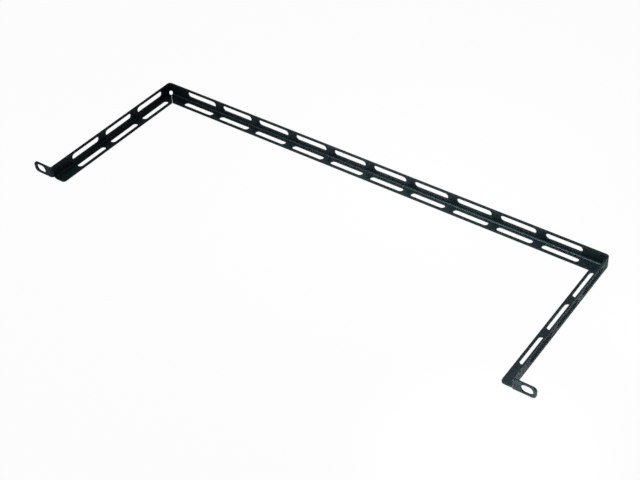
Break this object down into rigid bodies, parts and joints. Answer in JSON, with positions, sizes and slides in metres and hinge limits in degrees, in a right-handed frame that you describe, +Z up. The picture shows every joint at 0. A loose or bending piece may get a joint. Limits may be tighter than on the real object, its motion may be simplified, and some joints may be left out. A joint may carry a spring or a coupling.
{
  "type": "rack cable lacing bar",
  "caption": "U-shaped bar of folded sheet steel, L in section, with rows of lacing slots and outturned slotted ears, for tying cables behind rack equipment.",
  "frame": {"origin": "under the middle of the bar's bounding box, on the underside of its flat flange", "axes": "+X along the long run, -Y towards the ears' front faces, +Z up from the flat flange towards the upright flange's free edge"},
  "size_m": [0.48, 0.151, 0.0126],
  "materials": {
    "black_powder_coat": "semi-gloss black powder coat"
  },
  "bodies": {
    "root": {"lacing_bar": "black_powder_coat"}
  },
  "joints": []
}
